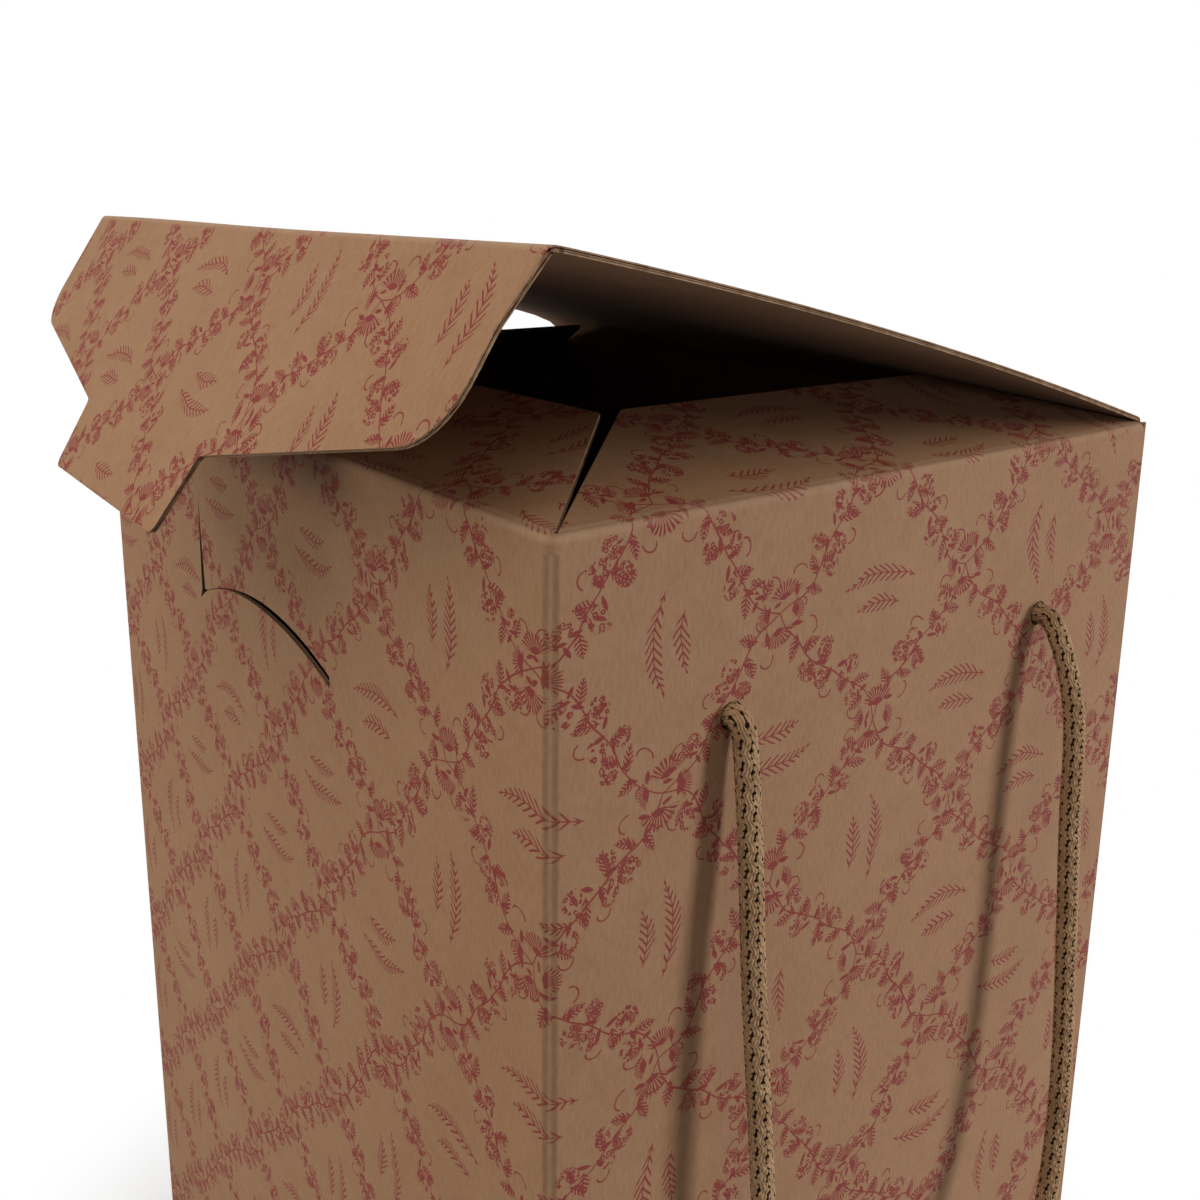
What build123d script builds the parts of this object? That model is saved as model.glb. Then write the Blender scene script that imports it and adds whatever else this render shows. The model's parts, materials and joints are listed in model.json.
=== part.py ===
from build123d import *
import os
from math import sin, cos, tan, radians, pi

os.makedirs("parts", exist_ok=True)

# A tall gift carton of fine corrugated board, folded from one creased blank, with two cord handles.
# Frame: origin on the floor at the middle of the carton, front towards -Y, +Z up, millimetres.

# Carton, outside sizes with the vertical creases folded
box_width = 250
box_depth = 188
box_height = 350
board = 1.1
crease_radius = 1.1
crease_gap = 0.3
ply_gap = 0.1
glue_line = 0.05
corner_margin = 4.4

# Glue flap inside the back panel
glue_width = 34
glue_taper = 14
glue_end_gap = 6

# Lid and tuck flap, as they stand in the photograph
lid_angle = 13.9
lid_bow = 3.0
lid_side_gap = 0.8
tuck_slack = 2.5
tuck_angle = 57.4
tuck_corner_drop = 36
tuck_corner_radius = 14
tuck_side_inset = 0.6

# Locking tongue and the slot that takes it
lock_centre = -3.5
tongue_root = 82
tongue_tip = 76
tongue_length = 18
tongue_corner_radius = 3.5
tongue_root_radius = 2
tuck_drop = 53.7
slot_gap = 1.0
slot_rise = 7.6
slot_clearance = 0.5
slit_length = 25
slit_gap = 0.5
slit_hook = 4.2

# Dust flaps round the mouth
dust_angle = 13.5
dust_depth = 45
front_mitre = 46
side_front_mitre = 41
side_back_mitre = 52
front_mitre_gap = 0.2
side_mitre_gap = 0.8
dust_corner_radius = 3
dust_root_radius = 0.5

# Snap-lock bottom
fold_lip = 4
bottom_side_gap = 1.5
back_flap_reach = 110
back_ramp_start = 4
back_ramp_run = 22
side_flap_reach = 100
side_flap_front_gap = 8
side_flap_back_gap = 30
side_flap_taper = 26
front_flap_reach = 106
front_flap_taper = 22
flap_chamfer = 36
bottom_tongue_width = 36
bottom_tongue_reach = 40
bottom_tongue_taper = 1.2
bottom_notch_clearance = 1.5
bottom_notch_depth = 4
tongue_ramp_start = 2
tongue_ramp_run = 16
bend_radius = 12

# Cord handles
cord_diameter = 5
hole_diameter = 6
hole_spacing = 102
hole_drop = 42
stub_proud = 0.3
pivot_gap = 0.3
knot_diameter = 13.5
knot_length = 10
knot_gap = 0.1
tail_length = 26
tail_bend = 9
tail_root = 1
arc_share = 0.45

# The handle's free loop: stand-off from the face, place across it, and drop below the holes
loop_route = [
    (5.0, -51.2, -11), (6.4, -50.8, -27), (8.9, -51.4, -52), (12.4, -50.5, -90),
    (15.2, -49.0, -132), (18.2, -40.5, -164), (20.8, -21.0, -186), (21.8, 5.0, -192),
    (21.4, 30.0, -181), (20.0, 46.0, -157), (18.0, 51.6, -122), (15.4, 51.9, -84),
    (13.2, 50.8, -48), (12.2, 51.3, -24), (8.4, 51.0, -9),
]

half_width = box_width / 2
half_depth = box_depth / 2
fold_radius = crease_radius + board
mid_radius = crease_radius + board / 2
wall_x = half_width - board / 2
wall_y = half_depth - board / 2
glue_y = half_depth - board - glue_line - board / 2


def fold_line(*points, radius=mid_radius):
    """A centreline of folded board: straight runs joined by the crease radius."""
    return FilletPolyline(*points, radius=radius)


# Plan of the four walls and the glue flap, one strip of board folded round the carton
with BuildSketch() as blank_plan:
    with BuildLine():
        fold_line(
            (-half_width + crease_gap, wall_y), (wall_x, wall_y), (wall_x, -wall_y),
            (-wall_x, -wall_y), (-wall_x, glue_y), (-wall_x + glue_width, glue_y),
        )
    trace(line_width=board)

# Corner cuts at 45 degrees share each rounded vertical crease between two panels
corner_reach = fold_radius + corner_margin
inner_x = half_width - corner_reach
inner_y = half_depth - corner_reach
glue_corner_y = glue_y + board / 2
glue_edge_x = -half_width + glue_width + board

# Heights of the creases and of what they leave of the walls
crease_z = box_height - board / 2
wall_top = box_height - board - crease_gap
hinge_z = crease_z + board + crease_gap
back_wall_top = hinge_z - board / 2 - crease_gap
wall_height = wall_top - fold_lip
hole_z = box_height - hole_drop

# The tongue comes to the slot when the lid is shut and the tuck flap hangs straight down
slot_z = hinge_z - tuck_drop
slot_width = tongue_root + 2 * slot_clearance
slot_sag_radius = ((slot_width / 2) ** 2 + slot_rise**2) / (2 * slot_rise)

with BuildPart() as front_panel:
    with BuildSketch(Plane.XY.offset(fold_lip)):
        add(blank_plan.sketch)
        with BuildLine():
            Polyline(
                (-half_width, -half_depth), (half_width, -half_depth), (inner_x, -inner_y),
                (-inner_x, -inner_y), close=True,
            )
        make_face(mode=Mode.INTERSECT)
    extrude(amount=wall_height)
    # The arched slot, its small hook and the short slit that lets its lip give
    with BuildSketch(Plane.XZ.offset(half_depth - board / 2)):
        with BuildLine():
            SagittaArc(
                (lock_centre - slot_width / 2, slot_z), (lock_centre + slot_width / 2, slot_z),
                slot_rise,
            )
        trace(line_width=slot_gap)
        with BuildLine():
            Polyline(
                (lock_centre - slot_width / 2 - slit_gap / 2, slot_z + slit_length),
                (lock_centre - slot_width / 2 + slit_gap / 2, slot_z),
                (lock_centre - slot_width / 2 - slit_hook, slot_z - slit_hook),
                (lock_centre - slot_width / 2 - slit_gap, slot_z - slit_gap), close=True,
            )
        make_face()
    extrude(amount=board, both=True, mode=Mode.SUBTRACT)
front_panel.part.label = "front_panel"

with BuildPart() as back_panel:
    with BuildSketch(Plane.XY.offset(fold_lip)):
        add(blank_plan.sketch)
        with BuildLine():
            Polyline(
                (-half_width, half_depth), (half_width, half_depth), (inner_x, inner_y),
                (inner_x, half_depth - board - glue_line / 2),
                (-half_width, half_depth - board - glue_line / 2), close=True,
            )
        make_face(mode=Mode.INTERSECT)
    extrude(amount=back_wall_top - fold_lip)
back_panel.part.label = "back_panel"

with BuildPart() as right_side_panel:
    with BuildSketch(Plane.XY.offset(fold_lip)):
        add(blank_plan.sketch)
        with BuildLine():
            Polyline(
                (half_width, -half_depth), (half_width, half_depth), (inner_x, inner_y),
                (inner_x, -inner_y), close=True,
            )
        make_face(mode=Mode.INTERSECT)
    extrude(amount=wall_height)
    with BuildSketch(Plane.YZ.offset(wall_x)):
        with Locations((-hole_spacing / 2, hole_z), (hole_spacing / 2, hole_z)):
            Circle(hole_diameter / 2)
    extrude(amount=board, both=True, mode=Mode.SUBTRACT)
right_side_panel.part.label = "right_side_panel"

with BuildPart() as left_side_panel:
    with BuildSketch(Plane.XY.offset(fold_lip)):
        add(blank_plan.sketch)
        with BuildLine():
            Polyline(
                (-half_width, -half_depth), (-half_width, glue_corner_y),
                (-inner_x, glue_corner_y - corner_reach), (-inner_x, -inner_y), close=True,
            )
        make_face(mode=Mode.INTERSECT)
    extrude(amount=wall_height)
    with BuildSketch(Plane.YZ.offset(-wall_x)):
        with Locations((-hole_spacing / 2, hole_z), (hole_spacing / 2, hole_z)):
            Circle(hole_diameter / 2)
    extrude(amount=board, both=True, mode=Mode.SUBTRACT)
left_side_panel.part.label = "left_side_panel"

with BuildPart() as glue_flap:
    with BuildSketch(Plane.XY.offset(fold_lip)):
        add(blank_plan.sketch)
        with BuildLine():
            Polyline(
                (-half_width, glue_corner_y), (glue_edge_x, glue_corner_y),
                (glue_edge_x, glue_corner_y - corner_reach),
                (-inner_x, glue_corner_y - corner_reach), close=True,
            )
        make_face(mode=Mode.INTERSECT)
    extrude(amount=wall_height)
    # Its ends are cut back at a slant so that they stay clear of the folds
    with BuildSketch(Plane.XZ.offset(-half_depth)):
        with BuildLine():
            Polyline(
                (-half_width, fold_lip + glue_end_gap),
                (glue_edge_x, fold_lip + glue_end_gap + glue_taper),
                (glue_edge_x, wall_top - glue_end_gap - glue_taper),
                (-half_width, wall_top - glue_end_gap), close=True,
            )
        make_face()
    extrude(amount=box_depth, both=True, mode=Mode.INTERSECT)
glue_flap.part.label = "glue_flap"

# Bottom flaps lie in three plies; the front one's tongue climbs through a notch and locks on top
ply = board + ply_gap
front_ply_z = board / 2
side_ply_z = front_ply_z + ply
back_ply_z = side_ply_z + ply
tongue_ply_z = back_ply_z + ply
flap_half_width = half_width - board - bottom_side_gap
front_edge_y = front_flap_reach - half_depth
tongue_end_y = front_edge_y + bottom_tongue_reach
ramp_start_y = front_edge_y + tongue_ramp_start
ramp_end_y = ramp_start_y + tongue_ramp_run
back_edge_y = half_depth - back_flap_reach
notch_half_width = bottom_tongue_width / 2 + bottom_notch_clearance
notch_end_y = ramp_end_y + bottom_notch_depth
back_ramp_y = half_depth - back_ramp_start

with BuildPart() as bottom_front_flap:
    with BuildSketch(Plane.YZ):
        with BuildLine():
            FilletPolyline(
                (-wall_y, fold_lip), (-wall_y, front_ply_z), (ramp_start_y, front_ply_z),
                (ramp_end_y, tongue_ply_z), (tongue_end_y, tongue_ply_z),
                radius=[mid_radius, bend_radius, bend_radius],
            )
        trace(line_width=board)
    extrude(amount=flap_half_width, both=True)
    with BuildSketch():
        with BuildLine():
            right = Polyline(
                (0, -half_depth), (flap_half_width, -half_depth),
                (flap_half_width, front_edge_y - flap_chamfer),
                (flap_half_width - front_flap_taper, front_edge_y),
                (bottom_tongue_width / 2, front_edge_y),
                (bottom_tongue_width / 2 - bottom_tongue_taper, tongue_end_y), (0, tongue_end_y),
            )
            mirror(right, about=Plane.YZ)
        make_face()
    extrude(amount=box_height, mode=Mode.INTERSECT)
bottom_front_flap.part.label = "bottom_front_flap"

with BuildPart() as bottom_back_flap:
    with BuildSketch(Plane.YZ):
        with BuildLine():
            FilletPolyline(
                (wall_y, fold_lip), (wall_y, front_ply_z), (back_ramp_y, front_ply_z),
                (back_ramp_y - back_ramp_run, back_ply_z), (back_edge_y, back_ply_z),
                radius=[mid_radius, mid_radius, bend_radius],
            )
        trace(line_width=board)
    extrude(amount=flap_half_width, both=True)
    with BuildSketch():
        with BuildLine():
            right = Polyline(
                (0, half_depth), (flap_half_width, half_depth),
                (flap_half_width, back_edge_y + flap_chamfer),
                (flap_half_width - front_flap_taper, back_edge_y), (notch_half_width, back_edge_y),
                (notch_half_width, notch_end_y), (0, notch_end_y),
            )
            mirror(right, about=Plane.YZ)
        make_face()
    extrude(amount=box_height, mode=Mode.INTERSECT)
bottom_back_flap.part.label = "bottom_back_flap"

# The two side flaps of the bottom are the same, turned about
side_flap_y0 = -half_depth + side_flap_front_gap
side_flap_y1 = half_depth - side_flap_back_gap


def side_bottom_flap(side):
    """A bottom flap folded in from the side wall at side * X, tapered towards its free edge."""
    with BuildPart() as flap:
        with BuildSketch(Plane.XZ):
            with BuildLine():
                fold_line(
                    (side * wall_x, fold_lip), (side * wall_x, side_ply_z),
                    (side * (half_width - side_flap_reach), side_ply_z),
                )
            trace(line_width=board)
        extrude(amount=box_depth, both=True)
        with BuildSketch():
            with BuildLine():
                Polyline(
                    (side * half_width, side_flap_y0), (side * half_width, side_flap_y1),
                    (side * (half_width - side_flap_reach), side_flap_y1 - side_flap_taper),
                    (side * (half_width - side_flap_reach), side_flap_y0 + side_flap_taper),
                    close=True,
                )
            make_face()
        extrude(amount=box_height, mode=Mode.INTERSECT)
    return flap.part


bottom_right_flap = side_bottom_flap(1)
bottom_right_flap.label = "bottom_right_flap"
bottom_left_flap = side_bottom_flap(-1)
bottom_left_flap.label = "bottom_left_flap"


# Each dust flap turns on a bead along its crease, level with the middle of the wall's board
def dust_flap(plane, corner, gap, low_mitre, high_mitre):
    """A flap on a plane with X along its crease and Y towards its free edge, mitred at both ends."""
    crease_end = corner - fold_radius
    low, high = tan(radians(low_mitre)), tan(radians(high_mitre))
    with BuildPart() as flap:
        with BuildSketch(plane):
            with BuildLine():
                FilletPolyline(
                    (-crease_end, 0), (-crease_end, (fold_radius - gap) * low),
                    (gap + dust_depth / low - corner, dust_depth),
                    (corner - gap - dust_depth / high, dust_depth),
                    (crease_end, (fold_radius - gap) * high), (crease_end, 0),
                    radius=[dust_root_radius, dust_corner_radius, dust_corner_radius, dust_root_radius],
                )
                Line((crease_end, 0), (-crease_end, 0))
            make_face()
        extrude(amount=board / 2, both=True)
        with Locations(plane):
            Cylinder(board / 2, 2 * crease_end, rotation=(0, 90, 0))
    return flap.part


rise = radians(dust_angle)
front_dust_plane = Plane(
    origin=(0, -wall_y, crease_z), x_dir=(1, 0, 0), z_dir=(0, -sin(rise), cos(rise))
)
right_dust_plane = Plane(
    origin=(wall_x, 0, crease_z), x_dir=(0, 1, 0), z_dir=(sin(rise), 0, cos(rise))
)
left_dust_plane = Plane(
    origin=(-wall_x, 0, crease_z), x_dir=(0, -1, 0), z_dir=(-sin(rise), 0, cos(rise))
)
front_dust_flap = dust_flap(
    front_dust_plane, half_width, front_mitre_gap, front_mitre, front_mitre
)
front_dust_flap.label = "front_dust_flap"
right_dust_flap = dust_flap(
    right_dust_plane, half_depth, side_mitre_gap, side_front_mitre, side_back_mitre
)
right_dust_flap.label = "right_dust_flap"
left_dust_flap = dust_flap(
    left_dust_plane, half_depth, side_mitre_gap, side_back_mitre, side_front_mitre
)
left_dust_flap.label = "left_dust_flap"

# The lid runs from its hinge on the back wall to the fold of the tuck flap, bowed up between them
lid_length = wall_y + half_depth + tuck_slack + board / 2
lid_half_width = half_width - lid_side_gap
fold_y = wall_y - lid_length * cos(radians(lid_angle))
fold_z = hinge_z + lid_length * sin(radians(lid_angle))

with BuildPart() as lid_panel:
    with BuildSketch(Plane.YZ):
        with BuildLine():
            SagittaArc((wall_y, hinge_z), (fold_y, fold_z), -lid_bow)
        trace(line_width=board)
        with Locations((wall_y, hinge_z)):
            Circle(board / 2)
        with Locations((fold_y, fold_z)):
            Circle(board / 2 + crease_gap, mode=Mode.SUBTRACT)
    extrude(amount=lid_half_width, both=True)
lid_panel.part.label = "lid_panel"

# The tuck flap hangs from the lid's front fold; its tongue is what enters the slot
fall = radians(tuck_angle)
tuck_plane = Plane(
    origin=(0, fold_y, fold_z), x_dir=(-1, 0, 0), z_dir=(0, -sin(fall), cos(fall))
)
tuck_half_width = lid_half_width - tuck_side_inset
tongue_x = -lock_centre

with BuildPart() as tuck_flap:
    with BuildSketch(tuck_plane):
        with BuildLine():
            FilletPolyline(
                (-tuck_half_width, 0), (-tuck_half_width, tuck_corner_drop),
                (tongue_x - tongue_root / 2, tuck_drop),
                (tongue_x - tongue_tip / 2, tuck_drop + tongue_length),
                (tongue_x + tongue_tip / 2, tuck_drop + tongue_length),
                (tongue_x + tongue_root / 2, tuck_drop),
                (tuck_half_width, tuck_corner_drop), (tuck_half_width, 0),
                radius=[
                    tuck_corner_radius, tongue_root_radius, tongue_corner_radius,
                    tongue_corner_radius, tongue_root_radius, tuck_corner_radius,
                ],
            )
            Line((tuck_half_width, 0), (-tuck_half_width, 0))
        make_face()
    extrude(amount=board / 2, both=True)
    with Locations(tuck_plane):
        Cylinder(board / 2, 2 * tuck_half_width, rotation=(0, 90, 0))
tuck_flap.part.label = "tuck_flap"

# Handles: a cord goes through two holes of a side wall and is knotted inside at both ends
cord_radius = cord_diameter / 2
pivot_stand_off = stub_proud + pivot_gap + cord_radius
knot_face_x = half_width - board - knot_gap
knot_end_x = knot_face_x - knot_length
tail_x = knot_end_x - tail_bend


def cord_ends(side):
    """The knotted ends of one handle: a stub through each hole, the knot behind it and a short tail."""
    with BuildPart() as ends:
        for y in (-hole_spacing / 2, hole_spacing / 2):
            with BuildSketch(Plane.XZ.offset(-y)) as profile:
                with BuildLine():
                    Polyline(
                        (side * knot_end_x, hole_z),
                        (side * (half_width + stub_proud), hole_z),
                        (side * (half_width + stub_proud), hole_z + cord_radius),
                        (side * knot_face_x, hole_z + cord_radius),
                    )
                    ThreePointArc(
                        (side * knot_face_x, hole_z + cord_radius),
                        (side * (knot_face_x + knot_end_x) / 2, hole_z + knot_diameter / 2),
                        (side * knot_end_x, hole_z + cord_radius),
                    )
                    Line((side * knot_end_x, hole_z + cord_radius), (side * knot_end_x, hole_z))
                make_face()
            revolve(axis=Axis((0, y, hole_z), (1, 0, 0)))
            with BuildLine():
                tail = FilletPolyline(
                    (side * (knot_end_x + tail_root), y, hole_z), (side * tail_x, y, hole_z),
                    (side * tail_x, y, hole_z - tail_length), radius=tail_bend / 2,
                )
            with BuildSketch(tail ^ 0):
                Circle(cord_radius)
            sweep(path=tail)
    return ends.part


right_cord_ends = cord_ends(1)
right_cord_ends.label = "right_cord_ends"
left_cord_ends = cord_ends(-1)
left_cord_ends.label = "left_cord_ends"


def corner_radii(points):
    """At each corner of a route, the arc that reaches a set share of the way along its shorter run."""
    radii = []
    for before, here, after in zip(points, points[1:], points[2:]):
        turn = (here - before).get_angle(after - here)
        shorter = min((here - before).length, (after - here).length)
        radii.append(arc_share * shorter / tan(radians(turn / 2)))
    return radii


def handle_loop(side):
    """The free loop between the two holes, hanging down the outside of a side wall."""
    ends = [(pivot_stand_off, -hole_spacing / 2, 0), (pivot_stand_off, hole_spacing / 2, 0)]
    route = [
        Vector(side * (half_width + off), side * across, hole_z + drop)
        for off, across, drop in [ends[0], *loop_route, ends[1]]
    ]
    radii = corner_radii(route)
    with BuildPart() as loop:
        with BuildLine():
            centreline = FilletPolyline(*route, radius=radii)
        with BuildSketch(centreline ^ 0):
            Circle(cord_radius)
        sweep(path=centreline)
        with Locations(route[0], route[-1]):
            Sphere(cord_radius)
    tube_volume = pi * cord_radius**2 * centreline.length
    print("handle", side, "length", round(centreline.length, 1), "mm, radii", [round(r, 1) for r in radii])
    print("volume", round(loop.part.volume, 1), "section x length", round(tube_volume, 1), "mm3")
    return loop.part


right_handle_cord = handle_loop(1)
right_handle_cord.label = "right_handle_cord"
left_handle_cord = handle_loop(-1)
left_handle_cord.label = "left_handle_cord"

pieces = [
    front_panel.part, back_panel.part, left_side_panel.part, right_side_panel.part, glue_flap.part,
    bottom_front_flap.part, bottom_back_flap.part, bottom_left_flap, bottom_right_flap,
    front_dust_flap, left_dust_flap, right_dust_flap, lid_panel.part, tuck_flap.part,
    left_cord_ends, right_cord_ends, left_handle_cord, right_handle_cord,
]
for piece in pieces:
    export_step(piece, f"parts/{piece.label}.step")
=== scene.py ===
import bmesh
import bpy
import json
import numpy as np
from functools import reduce
from math import cos, pi, radians, sin, tan
from mathutils import Matrix, Vector


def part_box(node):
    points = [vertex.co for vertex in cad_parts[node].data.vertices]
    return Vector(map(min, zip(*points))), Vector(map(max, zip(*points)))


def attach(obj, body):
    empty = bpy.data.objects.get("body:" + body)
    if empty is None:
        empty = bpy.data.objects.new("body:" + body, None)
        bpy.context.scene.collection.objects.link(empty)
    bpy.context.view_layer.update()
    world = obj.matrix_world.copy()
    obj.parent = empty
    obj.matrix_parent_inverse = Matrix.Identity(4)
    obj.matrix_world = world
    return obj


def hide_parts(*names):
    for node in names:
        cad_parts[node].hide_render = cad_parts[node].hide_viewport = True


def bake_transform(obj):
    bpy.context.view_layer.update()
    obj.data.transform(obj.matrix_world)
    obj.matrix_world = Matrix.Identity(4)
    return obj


# Tall gift carton of fine corrugated board with cord handles, its lid standing a little open.
# Metres, origin on the floor at the middle of the carton, front towards -Y.

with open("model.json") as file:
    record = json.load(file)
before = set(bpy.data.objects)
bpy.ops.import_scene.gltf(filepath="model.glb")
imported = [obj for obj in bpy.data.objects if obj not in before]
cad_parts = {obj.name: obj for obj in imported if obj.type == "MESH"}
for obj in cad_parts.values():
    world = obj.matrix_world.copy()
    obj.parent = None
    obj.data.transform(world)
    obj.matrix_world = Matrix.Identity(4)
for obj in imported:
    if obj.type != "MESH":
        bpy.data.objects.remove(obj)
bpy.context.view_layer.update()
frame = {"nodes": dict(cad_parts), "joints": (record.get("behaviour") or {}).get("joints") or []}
mm = 0.001
jointAt = {j["name"]: np.array(j["pos_m"]) for j in frame["joints"]}


def addObject(name, data):
    # An object in the scene, at the origin and unturned
    made = bpy.data.objects.new(name, data)
    bpy.context.scene.collection.objects.link(made)
    return made


photoCamera = {
    "azimuth": 53.66845,
    "elevation": 12.20414,
    "roll": 0.27180,
    "place": (276.4995 * mm, -202.6505 * mm, 402.3100 * mm),
    "focalPixels": 1185.667,
    "centrePixel": (563.721, 467.314),
    "photoPixels": 1200,
    "sensor": 36,
    "clipStart": 0.01,
}


def makeCamera(setting):
    # The photograph's camera: its axes come from azimuth and elevation, then turn by the roll
    az, el, roll = (radians(setting[k]) for k in ("azimuth", "elevation", "roll"))
    back = Vector((sin(az) * cos(el), -cos(az) * cos(el), sin(el)))
    right = Vector((cos(az), sin(az), 0))
    up = back.cross(right)
    rolledRight = cos(roll) * right + sin(roll) * up
    rolledUp = cos(roll) * up - sin(roll) * right
    data = bpy.data.cameras.new("photoCamera")
    pixels = setting["photoPixels"]
    data.sensor_width = setting["sensor"]
    data.lens = setting["focalPixels"] / pixels * setting["sensor"]
    data.shift_x = 0.5 - setting["centrePixel"][0] / pixels
    data.shift_y = setting["centrePixel"][1] / pixels - 0.5
    data.clip_start = setting["clipStart"]
    camera = addObject("photoCamera", data)
    turn = Matrix((rolledRight, rolledUp, back)).transposed().to_4x4()
    camera.matrix_world = Matrix.Translation(setting["place"]) @ turn
    bpy.context.scene.camera = camera


makeCamera(photoCamera)
print("camera placed")


# Shader wiring: the usual signs between the values of a tree add its Math nodes

class Value:
    def __init__(self, w, socket):
        self.w, self.socket = w, socket

    def __add__(self, other):
        return self.w.math("ADD", self, other)

    def __sub__(self, other):
        return self.w.math("SUBTRACT", self, other)

    def __rsub__(self, other):
        return self.w.math("SUBTRACT", other, self)

    def __mul__(self, other):
        return self.w.math("MULTIPLY", self, other)

    def __truediv__(self, other):
        return self.w.math("DIVIDE", self, other)

    def __abs__(self):
        return self.w.math("ABSOLUTE", self)

    def __gt__(self, other):
        return self.w.math("GREATER_THAN", self, other)

    def __lt__(self, other):
        return self.w.math("LESS_THAN", self, other)


class Wiring:
    # Adds nodes to one tree; a value is linked, and a plain number or colour goes into the socket itself
    def __init__(self, tree):
        self.tree = tree

    def put(self, value, socket):
        if isinstance(value, Value):
            value = value.socket
        if isinstance(value, bpy.types.NodeSocket):
            self.tree.links.new(value, socket)
        else:
            socket.default_value = value

    def node(self, kind, inputs=(), **settings):
        # Inputs stand in order, or under their names or places in a dictionary
        made = self.tree.nodes.new(kind)
        for name, value in settings.items():
            setattr(made, name, value)
        for key, value in inputs.items() if isinstance(inputs, dict) else enumerate(inputs):
            self.put(value, made.inputs[key])
        return made

    def group(self, tree, **inputs):
        return self.node("ShaderNodeGroup", inputs, node_tree=tree).outputs

    def value(self, out, kind, inputs, **settings):
        return Value(self, self.node(kind, inputs, **settings).outputs[out])

    def math(self, operation, *values, clamp=False):
        return self.value(0, "ShaderNodeMath", values, operation=operation, use_clamp=clamp)

    def most(self, a, b):
        return self.math("MAXIMUM", a, b)

    def least(self, a, b):
        return self.math("MINIMUM", a, b)

    def vector(self, operation, *values):
        out = "Value" if operation in ("DOT_PRODUCT", "LENGTH", "DISTANCE") else "Vector"
        return self.value(out, "ShaderNodeVectorMath", values, operation=operation)

    def join(self, x, y, z=0.0):
        return self.value(0, "ShaderNodeCombineXYZ", (x, y, z))

    def split(self, vector):
        made = self.node("ShaderNodeSeparateXYZ", (vector,))
        return [Value(self, socket) for socket in made.outputs]

    def noise(self, place, scale, detail=2.0, rough=0.5, out="Fac"):
        inputs = {"Vector": place, "Scale": scale, "Detail": detail, "Roughness": rough}
        return self.value(out, "ShaderNodeTexNoise", inputs)

    def random(self, place, out="Value"):
        return self.value(out, "ShaderNodeTexWhiteNoise", {"Vector": place})

    def range(self, value, low, high, toLow=0.0, toHigh=1.0, smooth=False):
        return self.value(0, "ShaderNodeMapRange", (value, low, high, toLow, toHigh), clamp=True,
                          interpolation_type="SMOOTHSTEP" if smooth else "LINEAR")

    def mix(self, factor, a, b):
        return self.value(2, "ShaderNodeMix", {0: factor, 6: a, 7: b}, data_type="RGBA")

    def choose(self, factor, a, b):
        # b where factor is 1, a where it is 0
        return self.value(0, "ShaderNodeMix", {0: factor, 2: a, 3: b}, data_type="FLOAT")


def newGroup(name, inputs, outputs):
    # An empty node group with sockets of the given names and kinds: its wiring, its inputs and its outputs
    group = bpy.data.node_groups.new(name, "ShaderNodeTree")
    for way, sockets in (("INPUT", inputs), ("OUTPUT", outputs)):
        for socket, kind in sockets.items():
            group.interface.new_socket(socket, in_out=way, socket_type="NodeSocket" + kind)
    given, made = group.nodes.new("NodeGroupInput"), group.nodes.new("NodeGroupOutput")
    return Wiring(group), given.outputs, made.inputs


def newMaterial(name):
    material = bpy.data.materials.new(name)
    material.use_nodes = True
    tree = material.node_tree
    return material, Wiring(tree), tree.nodes["Principled BSDF"]


def finishPaper(w, shader, color, height, bump, roughness, specular):
    # Dull paper; bump is its strength and the distance of its highest fibres
    raised = w.node("ShaderNodeBump", {"Strength": bump[0], "Distance": bump[1], "Height": height})
    for name, value in (("Base Color", color), ("Normal", raised.outputs[0]), ("Roughness", roughness),
                        ("Specular IOR Level", specular)):
        w.put(value, shader.inputs[name])


def srgb(red, green, blue):
    # A linear colour from the 0-255 values of a colour picker
    shares = [c / 255 for c in (red, green, blue)]
    return [c / 12.92 if c <= 0.04045 else ((c + 0.055) / 1.055) ** 2.4 for c in shares] + [1.0]


# Kraft paper

kraftLook = {
    # light tone, dark tone and roughness
    "outside": (srgb(160, 123, 92), srgb(147, 109, 78), 0.78),
    "inside": (srgb(136, 103, 76), srgb(120, 87, 62), 0.85),
    "edge": (srgb(176, 144, 114), srgb(128, 96, 68), 0.9),
    "fibres": 1300.0,           # noise scales, per metre
    "mottle": 120.0,
    "cloud": 14.0,
    "fibreStretch": 0.3,
    "fibreRange": (0.32, 0.68),
    "mottleDepth": 1.2,
    "cloudDepth": 0.9,
    "bump": (0.3, 0.05 * mm),
    "specular": 0.25,
}


def kraftFibreGroup(look):
    # Paper fibres lying mostly along the flutes: a fine noise stretched along V, mottling and slow clouds
    w, given, made = newGroup("kraftFibre", {"Place": "Vector", "Light": "Color", "Dark": "Color"},
                              {"Color": "Color", "Height": "Float"})
    place = given["Place"]
    stretched = w.vector("MULTIPLY", place, (1.0, look["fibreStretch"], 1.0))
    fibre = w.noise(stretched, look["fibres"], 4.0, 0.65)
    mottle = w.noise(place, look["mottle"], 3.0, 0.6)
    cloud = w.noise(place, look["cloud"], 2.0)
    shade = (mottle - 0.5) * look["mottleDepth"] + w.range(fibre, *look["fibreRange"])
    shade = w.math("MULTIPLY_ADD", cloud - 0.5, look["cloudDepth"], shade, clamp=True)
    w.put(w.mix(shade, given["Dark"], given["Light"]), made["Color"])
    w.put(fibre, made["Height"])
    return w.tree


fibreGroup = kraftFibreGroup(kraftLook)

# The print: garlands on the lines of a diamond trellis, fans where they meet, a sprig in each diamond

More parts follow.
